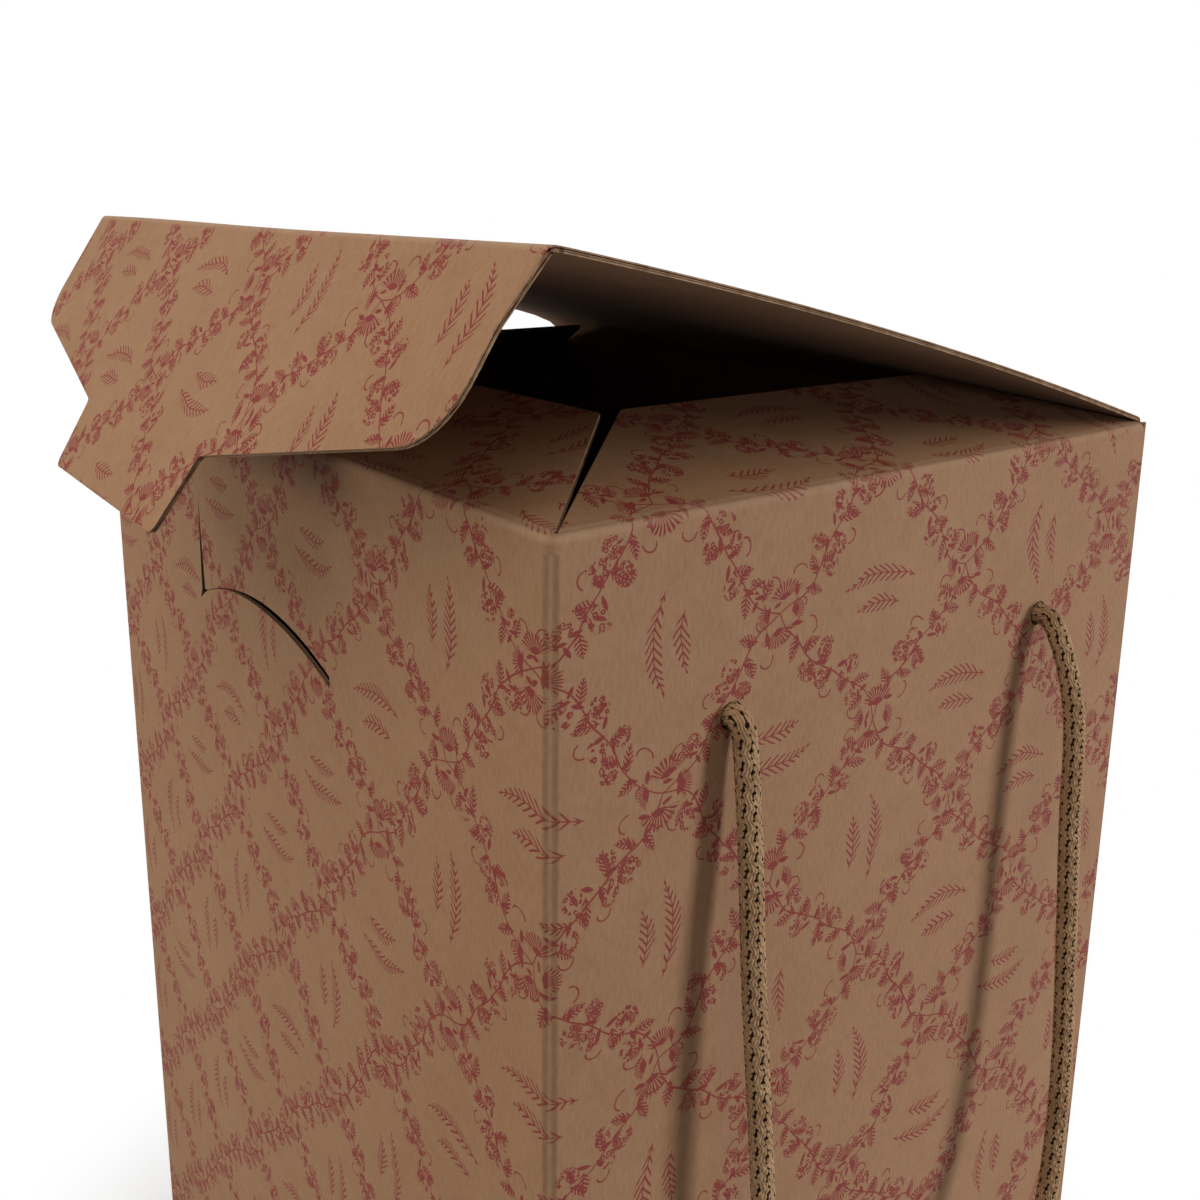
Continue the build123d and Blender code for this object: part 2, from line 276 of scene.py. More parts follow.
printLook = {
    "ink": srgb(122, 30, 36),
    "grain": 2600.0,
    "grainRange": (0.25, 0.6, 0.72, 0.95),      # from this noise to this cover of the ink
    "across": 58.896,           # millimetres between trellis crossings, along U and along V
    "down": 57.222,
    "crossing": (-4.2, 24.3),
    "creaseBelowTop": 0.55,
    "edgeLength": 41.04,        # from one crossing to the next
    "wander": (4.0, 0.075),     # how far the lines stray, and the scale of that noise
    "ragged": (0.22, 2.2),      # how far the outlines do, and its scale
    "fade": 0.05,
    "stem": (1.9, 0.7, 0.18),   # swing of the stem, of its second wave, and half its width
    # leaflets of a sprig: slant, their gap as a share of the pitch, half the rib
    "leaflets": (0.9, 0.22, 0.14),
    # sprigs of small leaves: along, across, angle, length, width, leaflet pitch
    "sprigs": ((7.0, 1.3, 62, 5.6, 2.6, 0.95), (10.4, 1.7, -58, 5.4, 2.5, 0.95),
               (18.6, 0.2, -118, 5.2, 2.5, 0.9), (23.4, -1.6, 46, 5.8, 2.7, 1.0),
               (29.4, -1.6, -52, 5.6, 2.5, 0.95), (34.2, -1.0, 108, 4.8, 2.3, 0.9),
               (13.8, 1.2, 26, 4.6, 2.1, 0.85), (27.0, -2.0, 100, 4.6, 2.2, 0.9)),
    # single leaves: along, across, angle, length, width
    "leaves": ((4.6, 0.9, -48, 3.2, 1.1), (9.0, 1.8, 112, 2.8, 1.0), (12.2, 1.7, -112, 2.8, 1.0),
               (15.8, 0.9, -36, 3.4, 1.0), (20.6, -0.6, 72, 3.0, 1.1), (21.8, -1.0, -60, 3.2, 1.0),
               (25.6, -2.0, -104, 3.0, 1.0), (28.4, -1.9, 22, 3.2, 1.0), (32.0, -1.4, 40, 2.8, 0.9),
               (33.0, -1.2, -76, 2.8, 1.0), (37.0, -0.6, -50, 3.0, 1.0), (38.4, -0.3, 62, 2.6, 0.9)),
    # bunches of small blossoms: along, across, radius
    "bunches": ((15.0, 3.4, 2.6), (25.6, -4.0, 2.4), (19.8, 2.4, 2.3), (16.4, -2.6, 2.2), (31.0, 1.2, 2.0)),
    "blossoms": (0.92, 0.40, 0.135, 0.11),      # scale, the ring's radius and half width, the heart's radius
    # curled tendrils: centre, radius, the side of the centre that it keeps
    "tendrils": ((34.0, 2.6, 1.9, 1.0), (9.0, -2.9, 1.7, -1.0), (22.6, 3.9, 1.5, 1.0), (4.0, 3.0, 1.6, 1.0)),
    "tendrilHalf": 0.17,
    "tendrilLean": 0.6,
    # fans at each crossing: across, down, angle, radius
    "fans": ((1.2, -2.6, -38, 5.0), (-1.2, 2.6, 142, 5.0), (2.6, 1.8, 52, 3.6), (-2.6, -1.8, -128, 3.6)),
    "fanStrokes": (0.115, 0.05),        # radians from the middle of a stroke to the next gap, and half a gap
    "fanScallop": (0.23, 5.0, 1.1),     # the same for a scallop, its depth per radian, and how far it cuts in
    "fanWedge": (3.2, 2.6),     # its sides stand where the bearing times the second is the first
    "fanHeart": 1.7,
    # the sprigs of a diamond: across and length, then width, leaflet pitch, slant, gap and rib, and their bow
    "standing": ((-2.0, 21.0), (5.0, 13.0)),
    "standingLeaf": (4.2, 1.9, 1.3, 0.62 / 1.9, 0.13),
    "standingBow": (0.022, -1.2),
}


def printGroup(look):
    # Every motif is a field in millimetres, positive inside it; the ink is where the largest is above 0
    w, given, made = newGroup("trellisPrint", {"Place": "Vector"}, {"Ink": "Float"})
    length = look["edgeLength"]

    def axes(place, x0, y0, angle):
        # Distance along and across a motif that starts at (x0, y0) and points along angle
        c, s = cos(radians(angle)), sin(radians(angle))
        return (w.vector("DOT_PRODUCT", place, (c, s, -c * x0 - s * y0)),
                w.vector("DOT_PRODUCT", place, (-s, c, s * x0 - c * y0)))

    def leaf(along, across, leafLength, width):
        # Half width is a parabola of the distance along, less the distance across
        return along * (leafLength - along) * (2 * width / leafLength**2) - across

    def sprig(along, across, sprigLength, width, pitch, slant, gap, rib):
        # A leaf outline filled with slanting leaflets and a rib down its middle
        outline = leaf(along, across, sprigLength, width)
        leaflets = w.math("PINGPONG", across * -slant + along, pitch / 2) - pitch * gap
        return w.least(outline, w.most(leaflets, rib - across))

    # Blank coordinates in millimetres, v downwards, a little out of true
    scaled = w.vector("MULTIPLY", given["Place"], (1000.0, -1000.0, 0.0))
    wander, wanderScale = look["wander"]
    drift = w.vector("SUBTRACT", w.noise(scaled, wanderScale, 1.0, 0.5, "Color"), (0.5, 0.5, 0.5))
    drift = w.vector("MULTIPLY", drift, (wander, wander, 0.0))
    flat = w.vector("ADD", w.vector("ADD", scaled, drift), (0.0, look["creaseBelowTop"], 1.0))
    a, b, (u0, v0) = look["across"], look["down"], look["crossing"]
    first = w.vector("DOT_PRODUCT", flat, (1 / a, 1 / b, -u0 / a - v0 / b))
    second = w.vector("DOT_PRODUCT", flat, (1 / a, -1 / b, -u0 / a + v0 / b))

    # The nearest garland line, the place along it and the distance across it, each line turned by chance
    firstLine, secondLine = w.math("ROUND", first), w.math("ROUND", second)
    firstOff, secondOff = (first - firstLine) * length, (second - secondLine) * length
    onFirst = abs(firstOff) < abs(secondOff)
    run = w.choose(onFirst, first, second)
    label = w.join(w.choose(onFirst, secondLine + 40.5, firstLine), w.math("FLOOR", run), onFirst)
    turnAlong, turnAcross, _ = w.split(w.random(label, "Color"))
    along = w.math("FRACT", run) * length
    along = w.choose(turnAlong > 0.5, along, length - along)
    across = w.choose(onFirst, secondOff, firstOff) * ((turnAcross > 0.5) * 2.0 - 1.0)
    edge = w.join(along, across, 1.0)

    # Stem: a sine of the place along the line and a smaller one of twice its pace
    swing, ripple, half = look["stem"]
    phase = along * (2 * pi / length)
    middle = w.math("SINE", phase) * swing + w.math("SINE", phase * 2.0) * ripple
    field = half - abs(across - middle)
    for *start, sprigLength, width, pitch in look["sprigs"]:
        along, across = axes(edge, *start)
        field = w.most(field, sprig(along, abs(across), sprigLength, width, pitch, *look["leaflets"]))
    for *start, leafLength, width in look["leaves"]:
        along, across = axes(edge, *start)
        field = w.most(field, leaf(along, abs(across), leafLength, width))
    bunches = reduce(w.most, (radius - w.vector("DISTANCE", edge, (x0, y0, 1.0))
                              for x0, y0, radius in look["bunches"]))
    scale, fromRing, ringHalf, heart = look["blossoms"]
    centre = w.value("Distance", "ShaderNodeTexVoronoi", {"Vector": flat, "Scale": scale}, feature="F1")
    blossoms = w.most(ringHalf - abs(centre - fromRing), heart - centre)
    field = w.most(field, w.least(bunches, blossoms))
    lean = look["tendrilLean"]
    for x0, y0, radius, keep in look["tendrils"]:
        line = look["tendrilHalf"] - abs(w.vector("DISTANCE", edge, (x0, y0, 1.0)) - radius)
        kept = w.vector("DOT_PRODUCT", edge, (lean, keep, -lean * x0 - keep * y0))
        field = w.most(field, w.least(line, kept))

    # Fans: strokes spread from a point, cut off at a scalloped radius
    corner = w.join(firstOff, secondOff, 1.0)
    (pitch, gap), (scallop, depth, cut), (wedge, narrows) = (
        look[k] for k in ("fanStrokes", "fanScallop", "fanWedge"))
    for *start, radius in look["fans"]:
        x, y = axes(corner, *start)
        away, bearing = w.vector("LENGTH", w.join(x, y)), w.math("ARCTAN2", y, x)
        strokes = (w.math("PINGPONG", bearing, pitch) - gap) * away
        rim = w.math("PINGPONG", bearing, scallop) * depth + (radius - cut) - away
        shape = w.least(w.most(strokes, look["fanHeart"] - away), rim)
        field = w.most(field, w.least(shape, wedge - abs(bearing) * narrows))

    # A slender pair of sprigs stands in each diamond, turned one of four ways
    diamond = w.join(w.math("FLOOR", first), w.math("FLOOR", second), 7.0)
    fromMiddle = w.join(w.math("FRACT", first) - 0.5, w.math("FRACT", second) - 0.5)
    quarter = w.math("FLOOR", w.random(diamond) * 4.0)
    inputs = {"Vector": w.vector("MULTIPLY", fromMiddle, (length, length, 0.0)),
              "Angle": quarter * (pi / 2) + pi / 4}
    x, y, _ = w.split(w.value(0, "ShaderNodeVectorRotate", inputs, rotation_type="Z_AXIS"))
    bend, base = look["standingBow"]
    fromBow = y - (x * x * bend + base)
    for shift, sprigLength in look["standing"]:
        across = abs(fromBow - shift)
        field = w.most(field, sprig(x + sprigLength / 2, across, sprigLength, *look["standingLeaf"]))

    ragged, raggedScale = look["ragged"]
    field = (w.noise(scaled, raggedScale, 2.0, 0.6) - 0.5) * ragged + field
    w.put(w.range(field, -look["fade"], look["fade"], smooth=True), made["Ink"])
    return w.tree


inkGroup = printGroup(printLook)

# Pressed creases, partly wear and partly painted light: on the walls a painted highlight line between two
# bands of painted shade, on the folds a pale line of wear and painted highlight

creaseWearAndPaintedLightLook = {
    "corners": (-0.4332, -0.2482, 0.0, 0.1862),     # U of the vertical creases
    "folds": (0.0, 0.0014, 0.1918),     # V of the creases of the dust flaps, the lid and the tuck flap
    "below": -0.0025,           # V under which the marks of the vertical creases begin
    "band": (0.85 * mm, 0.55 * mm),     # from the crease to the middle of a dark line of painted shade, and half its width
    "line": 0.4 * mm,           # half the width of the painted highlight line, and of the fold line of wear and painted highlight
    "worn": 1.0 * mm,
    # dark is painted shade beside a vertical crease, pale a painted highlight on a crease line and fold, both
    # with some wear
    "dark": srgb(104, 74, 44),
    "pale": srgb(200, 172, 146),
    "bandCover": 0.6,
    "lineCover": 0.45,
    "foldCover": 0.35,
    "patches": 260.0,
    "patchRange": (0.3, 0.7, 0.45, 1.0),
}


# Paints the crease marks: some wear together with painted shade and painted highlights
def worn(w, place, color, look):
    # Masks fall off evenly from each crease: near = 1 - distance / width
    def near(distance, width):
        return w.math("SUBTRACT", 1.0, distance / width, clamp=True)

    def nearest(value, places):
        return reduce(w.least, (abs(value - at) for at in places))

    u, v, _ = w.split(place)
    corner, fold = nearest(u, look["corners"]), nearest(v, look["folds"])
    middle, half = look["band"]
    uneven = w.range(w.noise(place, look["patches"], 3.0, 0.6), *look["patchRange"])
    onWall = (v < look["below"]) * uneven
    # Painted shade in the bands beside each vertical crease, a painted highlight on its line and on each
    # fold, all with some wear
    for mask, cover, tone in (
        (near(abs(corner - middle), half) * onWall, look["bandCover"], look["dark"]),
        (near(corner, look["line"]) * onWall, look["lineCover"], look["pale"]),
        (near(fold, look["worn"]) * uneven, look["foldCover"], look["pale"]),
    ):
        color = w.mix(mask * cover, color, tone)
    return color


def kraftMaterial(name, face, coordinates="UV", printed=False):
    # Kraft paper with a fine fibre bump, and the print over it where it has one
    look = kraftLook
    light, dark, roughness = look[face]
    material, w, shader = newMaterial(name)
    place = w.node("ShaderNodeTexCoord").outputs[coordinates]
    fibre = w.group(fibreGroup, Place=place, Light=light, Dark=dark)
    color = fibre["Color"]
    if printed:
        grain = w.range(w.noise(place, printLook["grain"], 2.0, 0.7), *printLook["grainRange"])
        cover = grain * w.group(inkGroup, Place=place)["Ink"]
        # the crease marks go on top: wear with painted shade and painted highlights
        color = worn(w, place, w.mix(cover, color, printLook["ink"]), creaseWearAndPaintedLightLook)
    finishPaper(w, shader, color, fibre["Height"], look["bump"], roughness, look["specular"])
    return material


printedKraft = kraftMaterial("printedKraft", "outside", printed=True)
insideKraft = kraftMaterial("insideKraft", "inside")
edgeKraft = kraftMaterial("edgeKraft", "edge")
bottomKraft = kraftMaterial("bottomKraft", "inside", "Object")
boardMaterials = [printedKraft, insideKraft, edgeKraft]
print("materials made")


# Board: sheets over the flat blank, U across the flutes and V along them, up from the top crease

boardSize = {
    "thickness": 1.1 * mm,
    "liner": 0.28 * mm,
    "flutePitch": 1.8 * mm,
    "fluteSwing": 0.175 * mm,   # with half the paper it stays clear of the liners
    "flutePaper": 0.15 * mm,
    "fluteSamples": 6,
    "fluteInset": 0.06 * mm,
    "cornerRadius": 1.65 * mm,  # to the middle of the board, on the vertical creases
    "creaseRadius": 1.25 * mm,  # the same on the creases of the flaps and the lid
    "creaseSteps": 8,
    "seam": 2.0 * mm,           # each flap starts this far below its crease
    "sharpDegrees": 38,
}
halfBoard = boardSize["thickness"] / 2
seam = boardSize["seam"]
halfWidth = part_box("right_side_panel")[1].x
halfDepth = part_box("back_panel")[1].y
wallX, wallY = halfWidth - halfBoard, halfDepth - halfBoard
creaseHeight = jointAt["front_dust_crease"][2]


def bentPath(corners, radii, arcSteps=boardSize["creaseSteps"]):
    # A line through corners with an arc of its radius at each: lengths, points and right-hand normals
    corners = [np.array(c, float) for c in corners]
    headings = [(b - a) / np.linalg.norm(b - a) for a, b in zip(corners, corners[1:])]
    points, normals = [corners[0]], [np.array((headings[0][1], -headings[0][0]))]
    for corner, before, after, radius in zip(corners[1:], headings, headings[1:], radii):
        turn = np.arctan2(before[0] * after[1] - before[1] * after[0], before @ after)
        normal = np.array((before[1], -before[0]))
        centre = corner - before * abs(radius * tan(turn / 2)) - normal * np.sign(turn) * radius
        for step in np.linspace(0, turn, arcSteps + 1):
            turned = np.array(((cos(step), -sin(step)), (sin(step), cos(step)))) @ normal
            points.append(centre + turned * np.sign(turn) * radius)
            normals.append(turned)
    points.append(corners[-1])
    normals.append(np.array((headings[-1][1], -headings[-1][0])))
    points, normals = np.array(points), np.array(normals)
    steps = np.linalg.norm(np.diff(points, axis=0), axis=1)
    return {"length": np.concatenate([[0], np.cumsum(steps)]), "points": points, "normals": normals}


def alongPath(path, length, offset):
    # Points at those lengths along a bent path, moved out along its normal
    points, normals = ([np.interp(length, path["length"], path[key][:, i]) for i in (0, 1)]
                       for key in ("points", "normals"))
    return np.stack([point + normal * offset for point, normal in zip(points, normals)], -1)


def slab(u, v, bottom, top, place, materialIndex):
    # A closed sheet: two grids over the same (u, v), at offsets bottom and top, joined by a rim
    rows, columns = v.shape
    uGrid = np.broadcast_to(u, v.shape)
    grids = [place(uGrid, v, np.broadcast_to(n, v.shape)) for n in (bottom, top)]
    vertices = np.concatenate([g.reshape(-1, 3) for g in grids])
    uv = np.tile(np.stack([uGrid, v], -1).reshape(-1, 2), (2, 1))
    lift = rows * columns
    index = np.arange(lift).reshape(rows, columns)
    upper = np.stack([index[:-1, :-1], index[:-1, 1:], index[1:, 1:], index[1:, :-1]], -1).reshape(-1, 4)
    around = np.concatenate([index[0, :-1], index[:-1, -1], index[-1, :0:-1], index[:0:-1, 0]])
    after = np.roll(around, -1)
    rim = np.stack([around, after, after + lift, around + lift], -1)
    faces = np.concatenate([upper[:, ::-1], upper + lift, rim])
    return vertices, faces, uv, np.repeat(materialIndex, (len(upper), len(upper), len(rim)))


def meshObject(name, parts, materials, sharpDegrees=boardSize["sharpDegrees"]):
    # One mesh of (vertices, quads, uv of each vertex, material index of each face) parts
    starts = np.cumsum([0] + [len(p[0]) for p in parts[:-1]])
    vertices, uv, indices = (np.concatenate([p[i] for p in parts]) for i in (0, 2, 3))
    faces = np.concatenate([p[1] + start for p, start in zip(parts, starts)])
    mesh = bpy.data.meshes.new(name)
    mesh.vertices.add(len(vertices))
    mesh.vertices.foreach_set("co", vertices.astype(np.float32).ravel())
    mesh.loops.add(faces.size)
    mesh.loops.foreach_set("vertex_index", faces.astype(np.int32).ravel())
    mesh.polygons.add(len(faces))
    mesh.polygons.foreach_set("loop_start", np.arange(0, faces.size, faces.shape[1], dtype=np.int32))
    mesh.polygons.foreach_set("material_index", indices.astype(np.int32))
    mesh.uv_layers.new(name="blank").data.foreach_set("uv", uv[faces.ravel()].astype(np.float32).ravel())
    for material in materials:
        mesh.materials.append(material)
    mesh.update(calc_edges=True)
    mesh.shade_smooth()
    mesh.set_sharp_from_angle(angle=radians(sharpDegrees))
    return addObject(name, mesh)


def evenRows(count):
    # Rows spread evenly from each column's low edge to its high edge
    share = np.linspace(0, 1, count)[:, None]
    return lambda low, high: low + (high - low) * share


def creaseRows(crease, count):
    # The crease's own rows first, then even rows on to the high edge
    share = np.linspace(0, 1, count)[1:, None]

    def rows(low, high):
        fixed = np.repeat(crease[:, None], len(low), 1)
        fixed[0] = low
        return np.concatenate([fixed, fixed[-1] + (high - fixed[-1]) * share])
    return rows


def boardPiece(name, outline, rowsFor, place):
    # Corrugated board over columns (u, low edge, high edge): two liners and a sine of paper between them
    size = boardSize
    u, low, high = outline
    low = np.broadcast_to(low, u.shape)
    high = np.broadcast_to(high, u.shape)
    v = rowsFor(low, high)
    inner = halfBoard - size["liner"]
    inset = size["fluteInset"]
    dense = np.linspace(u[0] + inset, u[-1] - inset,
                        int((u[-1] - u[0]) / size["flutePitch"] * size["fluteSamples"]))
    denseRows = rowsFor(np.interp(dense, u, low) + inset, np.interp(dense, u, high) - inset)
    wave = size["fluteSwing"] * np.sin(2 * pi * dense / size["flutePitch"])
    half = size["flutePaper"] / 2
    return meshObject(name, [
        slab(u, v, inner, halfBoard, place, (2, 0, 2)),
        slab(u, v, -halfBoard, -inner, place, (1, 2, 2)),
        slab(dense, denseRows, wave - half, wave + half, place, (2, 2, 2)),
    ], boardMaterials)


def dress(piece, slot, *nodes):
    # The piece stands for CAD nodes, which are hidden; slot is not used
    if nodes:
        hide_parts(*nodes)
    return piece


# Walls: one strip folded round the carton, U 0 in the middle of the front right corner

wallSize = {
    "glueInset": 1.15 * mm,     # the glue flap lies inside the back wall
    "glueWidth": 34 * mm,
    "glueTaper": 14 * mm,
    "glueEnd": 10 * mm,
    "glueRoot": 3 * mm,
    "glueFine": (4 * mm, 3.8 * mm),     # from its corner, where coarse columns end and fine ones begin
    "glueColumns": 12,
    "rawEdge": 0.3 * mm,        # the back wall ends this far in from the corner
    "floorLip": 4 * mm,         # and all walls this far above the floor
    "cornerTop": (0.9 * mm, 0.5 * mm),  # the back corners above the crease, where no flap begins
    "cornerSteps": 12,
    "columns": 30,
    "fineColumns": 8,
    "rows": 16,
}
glueY = wallY - wallSize["glueInset"]
sleeve = bentPath(
    [(-halfWidth + wallSize["glueWidth"], glueY), (-wallX, glueY), (-wallX, -wallY), (wallX, -wallY),
     (wallX, wallY), (-halfWidth + wallSize["rawEdge"], wallY)],
    [boardSize["cornerRadius"]] * 4, wallSize["cornerSteps"],
)
# Each corner's middle is the middle step of its arc
cornerLength = [sleeve["length"][1 + n * (wallSize["cornerSteps"] + 1) + wallSize["cornerSteps"] // 2]
                for n in range(4)]
glueCorner, frontLeft, _, backRight = [length - cornerLength[2] for length in cornerLength]
stripStart, stripEnd = -cornerLength[2], sleeve["length"][-1] - cornerLength[2]
cornerHalf = boardSize["cornerRadius"] * pi / 4     # half the length of a rounded corner


def wallPlace(u, v, n):
    # A point of the strip: u round the carton, v up from the top crease, n out of the wall
    plan = alongPath(sleeve, u + cornerLength[2], n)
    return np.concatenate([plan, (creaseHeight + v)[..., None]], -1)


def wallColumns(start, end):
    # Fine columns over the rounded ends and one just past them, coarse ones between
    fine = np.append(np.linspace(0, cornerHalf, wallSize["fineColumns"]), cornerHalf + 0.05 * mm)
    coarse = np.linspace(start, end, wallSize["columns"])[1:-1]
    return np.concatenate([start + fine, coarse, end - fine[::-1]])


slotSize = {
    "middle": -2.3 * mm,
    "height": 296.9 * mm,       # of the arc's ends
    "width": 80.8 * mm,
    "rise": 7.6 * mm,           # of its middle above them
    "tilt": 0.5 * mm,           # the slit's end below the other
    "gapPlaces": (0, 0.22, 0.36, 0.55, 0.8, 1),     # along the arc from the slit
    "gaps": (0.1 * mm, 0.4 * mm, 1.2 * mm, 2.2 * mm, 2.8 * mm, 3.0 * mm),
    "gapAbove": 0.1,            # the share of the gap above the arc
    "steps": 40,
    "slit": 26 * mm,
    "slitLean": 1.6 * mm,
    "slitGap": 2.3 * mm,
    "slitTip": 0.25 * mm,
    "hook": (3.6 * mm, 2.6 * mm),       # its end, left of and below the foot of the slit
    "hookGap": 0.7 * mm,
    "holeAcross": 51 * mm,
    "holeHeight": 308 * mm,
    "holeRadius": 3 * mm,
    "holeSteps": 32,
    "cutHalf": 3 * mm,          # the cutters reach this far to both sides of the board's middle
}


def slotOutline(size):
    # An arc, its gap growing along it, joined to the slit above its left end and the hook below
    share = np.linspace(0, 1, size["steps"])
    half, rise = size["width"] / 2, size["rise"]
    radius = (half**2 + rise**2) / 2 / rise
    turn = np.arcsin(half / radius) * (2 * share - 1)
    x = size["middle"] + radius * np.sin(turn)
    z = size["height"] - (radius - rise) + radius * np.cos(turn) - size["tilt"] * (1 - share)
    gap = np.interp(share, size["gapPlaces"], size["gaps"])
    upper = np.stack([x, z + gap * size["gapAbove"]], -1)
    lower = np.stack([x, z - gap * (1 - size["gapAbove"])], -1)[::-1]
    foot = np.array((x[0], z[0]))
    slitTop = foot + (-size["slitLean"], size["slit"])
    hookEnd, hookGap = foot - size["hook"], size["hookGap"]
    width = size["slitGap"]
    return np.concatenate([
        upper[1:], lower[:-1],
        [foot + (-0.1 * mm, -hookGap * 0.6), hookEnd + (0, -hookGap * 0.3),
         hookEnd + (-0.1 * mm, hookGap * 0.3), foot + (-width - 0.2 * mm, -0.1 * mm),
         slitTop, slitTop + (size["slitTip"], 0), foot + (0, width * 0.3)],
    ])


def cutAway(piece, outlines, place):
    # Holes through a wall: closed prisms over the outlines are taken away, and their walls are cut edge
    vertices, faces = [], []
    for outline in outlines:
        across, up = np.array(outline, float).T
        count, base = len(across), len(vertices)
        for n in (-slotSize["cutHalf"], slotSize["cutHalf"]):
            vertices.extend(place(across, up, np.full(count, n)).tolist())
        ring = [base + i for i in range(count)]
        faces.append(ring[::-1])
        faces.append([i + count for i in ring])
        faces.extend([a, b, b + count, a + count] for a, b in zip(ring, ring[1:] + ring[:1]))
    mesh = bpy.data.meshes.new("cutter")
    mesh.from_pydata(vertices, [], faces)
    for material in boardMaterials:
        mesh.materials.append(material)
    mesh.polygons.foreach_set("material_index", np.full(len(faces), 2, np.int32))
    shape = bmesh.new()
    shape.from_mesh(mesh)
    bmesh.ops.recalc_face_normals(shape, faces=shape.faces)
    shape.to_mesh(mesh)
    shape.free()
    cutter = addObject("cutter", mesh)
    cut = piece.modifiers.new("cut", "BOOLEAN")
    cut.object, cut.operation, cut.solver = cutter, "DIFFERENCE", "EXACT"
    cut.material_mode = "INDEX"
    whole = piece.data
    seen = bpy.context.evaluated_depsgraph_get()
    seen.update()
    piece.data = bpy.data.meshes.new_from_object(piece.evaluated_get(seen))
    piece.modifiers.clear()
    bpy.data.objects.remove(cutter)
    bpy.data.meshes.remove(mesh)
    bpy.data.meshes.remove(whole)
    piece.data.set_sharp_from_angle(angle=radians(boardSize["sharpDegrees"]))


wallBottom = wallSize["floorLip"] - creaseHeight
backTop = jointAt["lid_hinge"][2] - creaseHeight - seam
foldOuter = boardSize["cornerRadius"] + halfBoard
# From a back corner's middle: the end of its high top, of its lower one, and the start of the crease
cornerPlaces = np.array((cornerHalf * 0.4, cornerHalf, cornerHalf + 0.04 * mm))
for name, node, start, end, top in (
    ("leftWall", "left_side_panel", glueCorner, frontLeft, -seam),
    ("frontWall", "front_panel", frontLeft, 0.0, -seam),
    ("rightWall", "right_side_panel", 0.0, backRight, -seam),
    ("backWall", "back_panel", backRight, stripEnd, backTop),
):
    u = wallColumns(start, end)
    fromBack = np.minimum(np.abs(u - backRight), np.abs(u - glueCorner))
    high = np.interp(fromBack, cornerPlaces, (*wallSize["cornerTop"], top))
    wall = boardPiece(name, (u, wallBottom, high), evenRows(wallSize["rows"]), wallPlace)
    if name == "frontWall":
        cutAway(wall, [slotOutline(slotSize)],
                lambda across, up, n: np.stack([across, -wallY - n, up], -1))
    elif name != "backWall":
        side = 1 if name == "rightWall" else -1
        turn = np.linspace(0, 2 * pi, slotSize["holeSteps"], endpoint=False)
        ring = slotSize["holeRadius"] * np.stack([np.cos(turn), np.sin(turn)], -1)
        holes = [ring + (across, slotSize["holeHeight"])
                 for across in (-slotSize["holeAcross"], slotSize["holeAcross"])]
        cutAway(wall, holes, lambda across, up, n: np.stack([side * (wallX + n), across, up], -1))
    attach(dress(wall, "kraft_board", node), "carton")

coarseEnd, fineStart = wallSize["glueFine"]
u = np.concatenate([np.linspace(stripStart, glueCorner - coarseEnd, wallSize["glueColumns"]),
                    wallColumns(glueCorner - fineStart, glueCorner)])
ends = (wallSize["glueEnd"] + wallSize["glueTaper"], wallSize["glueEnd"], seam)
glueRoot = glueCorner - wallSize["glueRoot"]
low = np.interp(u, (stripStart, glueRoot, glueCorner), ends)
high = np.interp(u, (stripStart, glueRoot, *(glueCorner - cornerPlaces[::-1])),
                 (*np.negative(ends), *wallSize["cornerTop"][::-1]))
glueFlap = boardPiece("glueFlap", (u, wallBottom + low, high), evenRows(wallSize["rows"]), wallPlace)
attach(dress(glueFlap, "kraft_board", "glue_flap"), "carton")
print("walls made")


# Flaps round the mouth: a profile that climbs its wall, turns over the crease and leans in

flapSize = {
    "angle": 13.5,
    "depth": 45 * mm,
    "cornerRadius": 3 * mm,
    "wallBelow": 8 * mm,        # the profile starts this far below the crease
    "bendReach": 1.3 * mm,      # the reach of a bend at a crease, to both sides
    "columns": 26,
    "rows": 9,
    "runOn": 1.1,               # the profile runs on past the flap's edge
    "webSteps": 9,
    "webShare": 0.98,           # of the way to the corner's axis
    # the mitred ends: degrees from the crease, and the gap left to the corner
    "frontMitre": (46, 0.2 * mm),
    "sideFrontMitre": (42.6, 1.7 * mm),
    "rightBackMitre": (52, 0.8 * mm),
    "leftBackMitre": (60, 0.6 * mm),
}


def creasePlace(path, zero, uMiddle, alongAxis, outAxis):
    # Carries a profile (out, up) along a crease: u along it from its middle, v along the profile
    alongAxis, outAxis = np.array(alongAxis, float), np.array(outAxis, float)

    def place(u, v, n):
        point = alongPath(path, v + zero, n)
        return ((u - uMiddle)[..., None] * alongAxis + point[..., :1] * outAxis
                + point[..., 1:] * np.array((0, 0, 1.0)))
    return place


def columnsUnder(line, start, end, count):
    # Even columns and one at each point of a line, with the line's height there
    u = np.unique(np.concatenate([line[:, 0], np.linspace(start, end, count)]))
    return u, np.interp(u, line[:, 0], line[:, 1])


def bendRows(path):
    # Rows through the first crease of a path that starts wallBelow before it: the seam, then the arc's steps
    arc = path["length"][1:boardSize["creaseSteps"] + 2] - flapSize["wallBelow"]
    return np.concatenate([[-seam], arc])


def blendAcross(piece, inDirection, outDirection):
    # Works out the lean between the two directions, then bakes the piece's place into its mesh
    lean = np.array(outDirection, float) - np.array(inDirection, float)
    lean /= np.linalg.norm(lean)
    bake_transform(piece)


